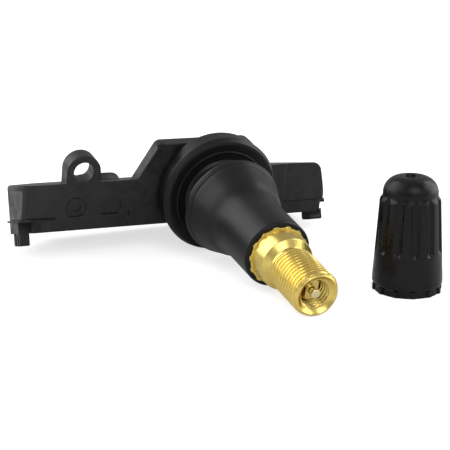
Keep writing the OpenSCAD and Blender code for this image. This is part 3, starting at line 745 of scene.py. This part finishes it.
@dataclass
class SensorHousing:
    """The housing and its cover, taken from the solids.

    The corner between the tower and the roof is cleared, and flat faces stay flat in the shading. The
    sizes from slope to plate give the tower's left side and the roof, measured from the valve's seat.
    """

    lie: Lie
    sharp: float = 32.0
    slope: float = 0.565
    foot: float = -14.05
    foot_rise: float = 2.4
    roof_rise: float = 2.21
    roof_fall: float = 0.411
    plate: float = 2.5
    fillet: float = 0.9
    fillet_steps: int = 8
    skin: float = 0.006
    overcut: float = 0.06
    cut_width: float = 2.4
    cut_height: float = 4.6
    slots: dict[str, str] = field(default_factory=lambda: {
        "housing": "housing_plastic", "base_cover": "cover_plastic"})

    def build(self) -> None:
        """Make the shell and the cover."""
        for node, slot in self.slots.items():
            mesh = frame["nodes"][node].data.copy()
            mesh.materials.clear()
            piece = finished(f"{node}_shell", mesh, Matrix.Identity(4), self.sharp)
            if node == "housing":
                self.trim(piece)
            piece.data.normals_split_custom_set(self.flat_normals(piece.data))
            settle(piece, "sensor", slot, node)

    def trim(self, piece: bpy.types.Object) -> None:
        """Clear the corner between the tower and the roof down to a small fillet.

        Args:
            piece: The housing's shell.
        """
        mesh = bpy.data.meshes.new("corner")
        front, rear = self.corner(-self.overcut), self.corner(self.plate + self.overcut)
        count = len(front)
        sides = [(k, (k + 1) % count, count + (k + 1) % count, count + k) for k in range(count)]
        ends = [tuple(range(count))[::-1], tuple(range(count, 2 * count))]
        mesh.from_pydata(front + rear, [], sides + ends)
        cutter = finished("corner", mesh, self.lie.tower(), self.sharp)
        cut = piece.modifiers.new("corner", "BOOLEAN")
        cut.operation = "DIFFERENCE"
        cut.solver = "EXACT"
        cut.object = cutter
        bpy.context.view_layer.update()
        seen = piece.evaluated_get(bpy.context.evaluated_depsgraph_get())
        piece.data = bpy.data.meshes.new_from_object(seen)
        piece.modifiers.remove(cut)
        bpy.data.objects.remove(cutter)
        piece.data.set_sharp_from_angle(angle=math.radians(self.sharp))

    def corner(self, depth: float) -> list[tuple[float, float, float]]:
        """Return the outline of the cleared corner at a depth behind the tower's face.

        Args:
            depth: The depth in millimetres.

        Returns:
            The points in metres, in the frame of the valve's seat.
        """
        low = self.roof_rise - self.roof_fall * depth + self.skin
        foot = Vector((self.foot + self.slope * (low - self.foot_rise) - self.skin, low))
        up = Vector((self.slope, 1.0)).normalized()
        across = Vector((-1.0, 0.0))
        reach = self.fillet * math.tan((math.pi - up.angle(across)) / 2)
        top = foot + up * self.cut_height
        points = [foot + across * self.cut_width]
        points += bend(foot + across * reach, foot, foot + up * reach, self.fillet_steps)
        points += [top, top + across * self.cut_height]
        return [(q.x * MM, depth * MM, q.y * MM) for q in points]

    @staticmethod
    def flat_normals(mesh: bpy.types.Mesh) -> list[Vector]:
        """Return a normal for each corner, in which a large flat face outweighs the strips of a rounding.

        Args:
            mesh: The mesh, with its sharp edges marked.

        Returns:
            One normal for each of its corners.
        """
        shape = bmesh.new()
        shape.from_mesh(mesh)
        planes: dict[tuple[float, ...], float] = {}
        keys = {}
        for face in shape.faces:
            n = face.normal
            keys[face] = (round(n.x, 3), round(n.y, 3), round(n.z, 3), round(n.dot(face.verts[0].co) / MM, 1))
            planes[keys[face]] = planes.get(keys[face], 0.0) + face.calc_area()
        normals = []
        for face in shape.faces:
            # A face in a large plane takes its own normal
            if planes[keys[face]] > FLAT_AREA:
                normals += [face.normal.copy() for _ in face.loops]
                continue
            for loop in face.loops:
                # The faces round the corner that smooth edges join to this one
                reached = [face]
                for here in reached:
                    for edge in here.edges:
                        if edge.smooth and loop.vert in edge.verts:
                            reached += [f for f in edge.link_faces if f not in reached]
                # Each plane among them counts once, by its area
                total = Vector()
                for key, normal in {keys[f]: f.normal.copy() for f in reached}.items():
                    total += normal * planes[key]
                normals.append(total.normalized())
        shape.free()
        return normals


@dataclass
class ValveBrass:
    """The brass of the valve: cap thread, cone, shoulder, scalloped collar and the bore."""

    lie: Lie
    mouth: float = 3.475
    major: float = 3.85
    chamfer: float = 0.8
    thread_start: float = 0.1
    thread_end: float = 8.9
    runout: float = 0.35
    pitch: float = 0.794
    depth: float = 0.46
    last_depth: float = 0.25
    last_length: float = 0.5
    relief: float = 3.42
    cone_start: float = 9.9
    shoulder: float = 4.55
    rubber_start: float = 14.3
    collar: float = 5.2
    scallops: int = 14
    scallop_depth: float = 0.25
    lobe: float = 0.75
    tail: float = 45.6
    bore: float = 2.6
    core_start: float = 6.2
    core_fade: float = 3.9
    core_end: float = 0.62
    core_pitch: float = 0.705
    core_depth: float = 0.3
    fade: float = 0.4
    step: float = 0.05
    segments: int = 168

    def build(self) -> None:
        """Make the brass."""
        rows = self.outside() + self.inside()
        piece = turned("valve_brass_body", rows, self.segments, self.lie.valve(), self.radius)
        settle(piece, "sensor", "valve_brass", "valve_stem")

    def outside(self) -> list[Row]:
        """Return the rows from the mouth to the tail."""
        front, collar = self.rubber_start, self.collar
        mouth = [Row(0.06, 3.16), Row(0.0, 3.22), Row(0.0, self.mouth - 0.08), Row(0.06, self.mouth)]
        thread_back = self.thread_end + self.runout
        thread = self.threaded(self.thread_start, thread_back, self.major, Wave.OUTER_THREAD)
        shoulder = rounded([
            (self.thread_end + 0.4, self.relief, 0), (self.cone_start, self.relief, 0.15),
            (self.cone_start + 0.85, self.shoulder, 0.15), (front - 0.75, self.shoulder, 0.3)])
        lobes = [(0.4, collar - 0.1), (0.34, collar), (0.04, collar), (0.0, collar - 0.05)]
        scalloped = [Row(front - back, radius, Wave.SCALLOP) for back, radius in lobes]
        seat = [Row(at, radius) for at, radius in SEAT_STEPS] + [Row(self.tail, TAIL_RADIUS)]
        return mouth + thread + shoulder + [Row(front - 0.4, self.shoulder + 0.1)] + scalloped + seat

    def inside(self) -> list[Row]:
        """Return the rows from the tail back to the mouth."""
        bores = ((self.tail, 1.75), (39.3, 1.75), (39.0, 1.5), (18.1, 1.5), (17.3, 2.1), (8.0, 2.1))
        rows = [Row(at, radius) for at, radius in bores] + [Row(6.8, self.bore)]
        rows += self.threaded(self.core_start, self.core_end, self.bore, Wave.INNER_THREAD)
        return rows + [Row(0.5, 2.76), Row(0.2, 3.02)]

    def threaded(self, start: float, end: float, radius: float, wave: Wave) -> list[Row]:
        """Return the close rows of a thread.

        Args:
            start: Place of the first row along the valve.
            end: Place that the last row comes up to.
            radius: Radius of the rows.
            wave: How the radius changes round the axis.

        Returns:
            The rows.
        """
        step = math.copysign(self.step, end - start)
        return [Row(start + k * step, radius, wave) for k in range(int((end - start) / step) + 1)]

    def radius(self, row: Row, angle: float) -> float:
        """Return a row's radius at an angle.

        Args:
            row: The row.
            angle: The angle round the axis.

        Returns:
            The radius in millimetres.
        """
        if row.wave is Wave.OUTER_THREAD:
            return self.outer_thread(row, angle)
        if row.wave is Wave.INNER_THREAD:
            crest = 1.0 - self.crest(row.at / self.core_pitch - angle / (2 * math.pi))
            return row.radius - self.core_depth * crest * clipped((self.core_fade - row.at) / self.fade)
        if row.wave is Wave.SCALLOP:
            return self.scallop(row, angle)
        return row.radius

    def outer_thread(self, row: Row, angle: float) -> float:
        """Return the radius of the cap's thread, chamfered in front and run out behind.

        Args:
            row: The row.
            angle: The angle round the axis.

        Returns:
            The radius in millimetres.
        """
        cut = self.depth * self.crest(row.at / self.pitch - angle / (2 * math.pi))
        inside = clipped((self.thread_end - row.at) / self.last_length)
        share = self.last_depth + (1.0 - self.last_depth) * inside
        chamfered = self.mouth + (self.major - self.mouth) * clipped(row.at / self.chamfer)
        left = clipped((self.thread_end + self.runout - row.at) / self.fade)
        return min(self.major - cut * share, chamfered, self.relief + (self.major - self.relief) * left)

    def scallop(self, row: Row, angle: float) -> float:
        """Return the radius of the scalloped collar.

        Args:
            row: The row.
            angle: The angle round the axis.

        Returns:
            The radius in millimetres.
        """
        share = 2 * math.pi / self.scallops
        off = (angle + share / 2) % share - share / 2
        middle = row.radius - self.lobe
        across = middle * math.sin(off)
        root = row.radius - self.scallop_depth
        if abs(across) >= self.lobe:
            return root
        return max(root, middle * math.cos(off) + math.sqrt(self.lobe ** 2 - across ** 2))

    @staticmethod
    def crest(turns: float) -> float:
        """Return how deep a thread is cut at a place along its helix.

        Args:
            turns: The number of turns along the helix.

        Returns:
            0 on the crest and 1 in the root.
        """
        return clipped(0.5 - 0.66 * math.cos(2 * math.pi * turns))


@dataclass
class ValveRubber:
    """The rubber of the valve: neck, bell, groove and flange."""

    lie: Lie
    start: float = 14.3
    neck: float = 5.75
    bell: float = 8.7
    bell_back: float = 33.6
    groove: float = 6.3
    flange: float = 10.65
    flange_front: float = 38.0
    flange_back: float = 42.6
    longest: float = 0.8
    segments: int = 144

    def build(self) -> None:
        """Make the rubber."""
        rows = filled(rounded(self.profile()), self.longest)
        piece = turned("valve_rubber_body", rows, self.segments, self.lie.valve())
        settle(piece, "sensor", "valve_rubber", "valve_rubber")

    def profile(self) -> list[tuple[float, float, float]]:
        """Return the corners of the profile, outside first, then back through the brass's seat."""
        n, b, g, f = self.neck, self.bell, self.groove, self.flange
        start, back, front, rear = self.start, self.bell_back, self.flange_front, self.flange_back
        outside = [
            (start, n - 0.42, 0), (start + 0.04, n - 0.2, 0.1), (start + 0.3, n, 0.2),
            (start + 9.5, n + 0.1, 3.0), (back - 7.4, n + 0.45, 1.5), (back - 5.6, n + 1.25, 1.0),
            (back - 3.4, b - 1.0, 1.0), (back - 1.7, b - 0.4, 0.5), (back - 1.45, b - 0.46, 0.1),
            (back - 1.3, b - 0.3, 0.1), (back - 0.55, b, 0.3), (back - 0.05, b - 0.02, 0.25),
            (back, b - 0.4, 0.2), (back, g + 0.6, 0), (back + 0.4, g, 0.4),
            (front - 0.4, g, 0.4), (front, g + 0.6, 0), (front, 8.14, 0.05),
            (front - 0.17, 8.24, 0.05), (front - 0.17, 8.36, 0.05), (front, 8.46, 0.05),
            (front - 0.09, f - 0.92, 0.12), (front + 0.01, f - 0.5, 0.05), (front + 0.9, f, 0.1),
            (rear - 0.5, f - 0.2, 0.15), (rear, f - 0.6, 0.1), (rear, TAIL_RADIUS, 0)]
        return outside + [(at, radius, 0) for at, radius in reversed(SEAT_STEPS)]


@dataclass
class ValvePin:
    """The pin of the valve core, with its small head at the open end."""

    lie: Lie
    depth: float = 0.5
    head: float = 0.8
    stem: float = 0.5
    collar_at: float = 7.4
    collar: float = 1.2
    cup_at: float = 14.05
    cup_floor: float = 14.45
    cup: float = 1.5
    cup_bore: float = 1.35
    end: float = 15.25
    segments: int = 72

    def build(self) -> None:
        """Make the pin."""
        d, c, s = self.depth, self.collar_at, self.stem
        corners = [
            (d, CENTRE, 0), (d, self.head - 0.02, 0.14), (d + 0.36, self.head, 0.1), (d + 0.5, s, 0.05),
            (c, s, 0), (c, self.collar, 0.05), (c + 0.6, self.collar, 0.05), (c + 0.6, s, 0),
            (self.cup_floor, s, 0), (self.cup_floor, self.cup_bore, 0), (self.cup_at, self.cup_bore, 0),
            (self.cup_at, self.cup, 0.05), (self.end, self.cup, 0.1), (self.end, CENTRE, 0)]
        piece = turned("core_pin_body", rounded(corners, 3), self.segments, self.lie.valve())
        settle(piece, "pin", "pin_brass", "core_pin")


@dataclass
class CoreSpring:
    """The spring of the valve core, wound as one wire."""

    lie: Lie
    start: float = 8.0
    end: float = 12.6
    radius: float = 1.05
    wire: float = 0.28
    turns: int = 6
    steps: int = 32
    sides: int = 10
    sharp: float = 40.0

    def build(self) -> None:
        """Make the spring between the pin's collar and the seat."""
        half = self.wire / 2
        low, high = self.start + half, self.end - half
        count = self.turns * self.steps
        verts = []
        for i in range(count + 1):
            angle = 2 * math.pi * i / self.steps
            rise = low + (high - low) * i / count
            for k in range(self.sides):
                round_wire = 2 * math.pi * k / self.sides
                reach = self.radius + half * math.cos(round_wire)
                verts.append((reach * math.cos(angle) * MM, reach * math.sin(angle) * MM,
                              (rise + half * math.sin(round_wire)) * MM))
        faces = [tuple(range(self.sides)), tuple(range(count * self.sides, (count + 1) * self.sides))[::-1]]
        for i in range(count):
            for k in range(self.sides):
                here, m = i * self.sides, (k + 1) % self.sides
                faces.append((here + k, here + m, here + self.sides + m, here + self.sides + k))
        mesh = bpy.data.meshes.new("core_spring_coil")
        mesh.from_pydata(verts, [], faces)
        place = self.lie.valve()
        piece = finished("core_spring_coil", mesh, place, self.sharp)
        piece.data.materials.append(FINISHES["screw_steel"].material())
        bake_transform(piece)
        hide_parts("core_spring")
        LOG.info("%s closes up with %d faces", piece.name, len(piece.data.polygons))


@dataclass
class ValveCap:
    """The cap, standing on its rim: ribbed wall, shoulder, dome with a dimple, rim tabs and the bore."""

    lie: Lie
    height: float = 19.0
    base: float = 5.7
    rim: float = 1.1
    wall_low: float = 2.2
    shoulder: float = 15.6
    shoulder_radius: float = 4.9
    dome: float = 4.45
    dome_round: float = 2.7
    dome_steps: int = 14
    tab_half: float = 0.4
    grooves: int = 12
    groove_radius: float = 0.9
    groove_out: float = 0.15
    groove_low: float = 7.4
    phase: float = 10.0
    bore: float = 4.05
    bore_depth: float = 10.5
    pocket: float = 12.0
    seal_step: float = 0.25
    seal_start: float = 9.6
    longest: float = 0.22
    segments: int = 480

    def build(self) -> None:
        """Make the cap."""
        place = Matrix.Translation(self.lie.cap)
        rows = self.outside() + self.inside()
        piece = turned("valve_cap_body", rows, self.segments, place, self.radius)
        settle(piece, "sensor", "cap_plastic", "valve_cap")

    def outside(self) -> list[Row]:
        """Return the rows from the rim up to the dimple."""
        dome_low = self.height - self.dome_round
        corners = [
            (0.0, 4.6, 0), (0.0, self.base - 0.35, 0.12), (self.rim, self.base - 0.3, 0.1),
            (self.rim + 0.35, self.base - 0.02, 0.2), (self.wall_low, self.base, 0.8),
            (self.shoulder - 0.35, self.shoulder_radius, 0.25),
            (self.shoulder, self.shoulder_radius - 0.3, 0.2),
            (self.shoulder + 0.35, self.dome, 0.15), (dome_low, self.dome, 0.0)]
        rows = filled(rounded(corners), self.longest)
        inner = self.dome - self.dome_round
        angles = [math.radians(90 * k / self.dome_steps) for k in range(1, self.dome_steps + 1)]
        rows += [Row(dome_low + self.dome_round * math.sin(a), inner + self.dome_round * math.cos(a))
                 for a in angles]
        dimple = self.height - 0.5
        return rows + rounded([(self.height, 1.55, 0), (self.height, 1.3, 0.12),
                               (dimple, 1.2, 0.12), (dimple, CENTRE, 0)], 3)

    def inside(self) -> list[Row]:
        """Return the rows from the top of the bore down to the rim."""
        seat, narrow = self.bore + self.seal_step, self.bore - 0.8
        return [Row(self.pocket, CENTRE), Row(self.pocket, narrow), Row(self.bore_depth, narrow),
                Row(self.bore_depth, seat), Row(self.seal_start, seat), Row(self.seal_start, self.bore),
                Row(0.5, self.bore), Row(0.0, self.bore + 0.4)]

    def radius(self, row: Row, angle: float) -> float:
        """Return a row's radius at an angle, with the grooves cut and the tabs added.

        Args:
            row: The row.
            angle: The angle round the axis.

        Returns:
            The radius in millimetres.
        """
        if row.radius < self.bore + self.seal_step + 0.01 or row.at > self.height - 0.6:
            return row.radius
        share = 2 * math.pi / self.grooves
        off = (angle - math.radians(self.phase) + share / 2) % share - share / 2
        if row.at < self.rim and row.radius > self.base - 0.5:
            return self.base - 0.04 if abs(off * self.base) < self.tab_half and row.at > 0.1 else row.radius
        taper = (self.base - self.shoulder_radius) / (self.shoulder - self.wall_low)
        centre = self.base + self.groove_out - taper * (row.at - self.groove_low)
        low = max(0.0, self.groove_low - row.at)
        reach = self.groove_radius ** 2 - low ** 2
        across = centre * math.sin(off)
        if reach <= across ** 2:
            return row.radius
        return min(row.radius, centre * math.cos(off) - math.sqrt(reach - across ** 2))


# Studio

@dataclass
class Studio:
    """Bench, soft lights, world and camera; the bench, the lamps and their aim are in metres."""

    lie: Lie
    eye: tuple[float, float, float] = (-85.2, -205.78, 67.19)
    yaw: float = 23.102
    pitch: float = 15.88
    roll: float = 0.155
    lens: float = 102.4
    ambient: float = 0.64
    mirrored: float = 0.38
    bench_half: float = 3.0
    bench_top: float = -0.00002
    aim: tuple[float, float, float] = (0.0, 0.0, 0.01)

    def build(self) -> None:
        """Make the bench, the lights, the world and the camera."""
        self.bench()
        self.lamp("lamp_rear_left", (-0.44, 0.34, 0.40), 0.70, 3.7)
        self.lamp("lamp_right", (0.56, -0.06, 0.26), 0.60, 3.0)
        self.lamp("lamp_front", (-0.05, -0.50, 0.42), 0.34, 1.1)
        self.world()
        self.camera()

    def bench(self) -> None:
        """Make the pale bench."""
        shape = bmesh.new()
        bmesh.ops.create_grid(shape, x_segments=8, y_segments=8, size=self.bench_half)
        mesh = bpy.data.meshes.new("bench")
        shape.to_mesh(mesh)
        shape.free()
        made = bpy.data.objects.new("bench", mesh)
        made.location = (0.0, 0.0, self.bench_top)
        made.data.materials.append(PaleBench("bench_white", (0.55, 0.55, 0.55)).material())
        bpy.context.scene.collection.objects.link(made)

    def lamp(self, name: str, place: tuple[float, float, float], size: float, power: float) -> None:
        """Add a square soft lamp that faces the object.

        Args:
            name: The lamp's name.
            place: Where it hangs, in metres.
            size: Its width in metres.
            power: Its power in watts.
        """
        data = bpy.data.lights.new(name, "AREA")
        data.shape = "SQUARE"
        data.size = size
        data.energy = power
        made = bpy.data.objects.new(name, data)
        made.location = place
        made.rotation_euler = (Vector(self.aim) - Vector(place)).to_track_quat("-Z", "Y").to_euler()
        bpy.context.scene.collection.objects.link(made)

    def world(self) -> None:
        """Make a world that is white to the camera, and dimmer as a light and in reflections."""
        world = bpy.data.worlds.new("studio")
        bpy.context.scene.world = world
        tree = ShaderTree(world)
        seen = tree.node("ShaderNodeLightPath", output="Is Camera Ray")
        glossy = tree.node("ShaderNodeLightPath", output="Is Glossy Ray")
        through = tree.node("ShaderNodeLightPath", output="Is Transmission Ray")
        strength = seen.larger(through).larger(glossy * self.mirrored + (1.0 - glossy) * self.ambient)
        light = tree.node("ShaderNodeBackground", {}, {"Color": (1.0, 1.0, 1.0, 1.0), "Strength": strength})
        tree.node("ShaderNodeOutputWorld", {}, {"Surface": light})

    def camera(self) -> None:
        """Make the camera at the photograph's place."""
        data = bpy.data.cameras.new("camera")
        data.lens = self.lens
        data.sensor_width = 36.0
        data.clip_start = 0.01
        made = bpy.data.objects.new("camera", data)
        seat = self.lie.seat()
        turn = Matrix.Rotation(-math.radians(self.yaw), 4, "Z") @ Matrix.Rotation(
            math.radians(90 - self.pitch), 4, "X") @ Matrix.Rotation(math.radians(self.roll), 4, "Z")
        place = Vector((seat.x + self.eye[0] * MM, seat.y + self.eye[1] * MM, self.eye[2] * MM))
        made.matrix_world = Matrix.Translation(place) @ turn
        bpy.context.scene.collection.objects.link(made)
        bpy.context.scene.camera = made


def dress_solids() -> None:
    """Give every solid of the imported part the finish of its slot."""
    slots = {part["node"]: part["material_slot"] for part in frame["record"]["subparts"]}
    for name, solid in frame["nodes"].items():
        for place in solid.material_slots:
            place.material = FINISHES[slots[name]].material()
        LOG.info("%s has the finish %s", name, slots[name])


def main() -> None:
    """Build every piece in order."""
    logging.basicConfig(level=logging.INFO, format="%(name)s: %(message)s")
    bpy.context.scene.view_settings.view_transform = "Standard"
    lie = Lie()
    dress_solids()
    for piece in (SensorHousing(lie), ValveBrass(lie), ValveRubber(lie), ValvePin(lie),
                  CoreSpring(lie), ValveCap(lie), Studio(lie)):
        LOG.info("building %s", type(piece).__name__)
        piece.build()


if __name__ == "__main__":
    main()
